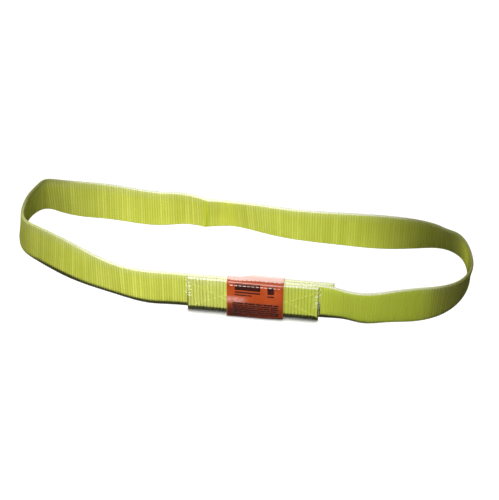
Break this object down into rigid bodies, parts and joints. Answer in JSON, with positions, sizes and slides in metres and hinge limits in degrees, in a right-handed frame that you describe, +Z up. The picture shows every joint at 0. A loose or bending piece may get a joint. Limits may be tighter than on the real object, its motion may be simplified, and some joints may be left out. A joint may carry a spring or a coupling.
{
  "type": "endless web sling",
  "caption": "Endless flat web lifting sling standing on its edge as a long loop, with a covered sewn splice and a folded label.",
  "frame": {"origin": "on the ground, under the middle of the whole sling's box", "axes": "+X along the loop's length, towards the end on the right when the label faces the viewer; +Y from the labelled run to the plain run; +Z up, across the webbing's width"},
  "size_m": [0.5387, 0.1544, 0.0526],
  "materials": {
    "webbing": "ribbed woven polyester webbing, lime yellow",
    "thread": "heavy white polyester sewing thread",
    "label": null
  },
  "bodies": {
    "root": {"webbing_strap": "webbing", "splice_cover": "webbing", "label": "label", "splice_stitching": "thread", "cover_stitching_left": "thread", "cover_stitching_right": "thread", "label_stitching": "thread"}
  },
  "joints": []
}
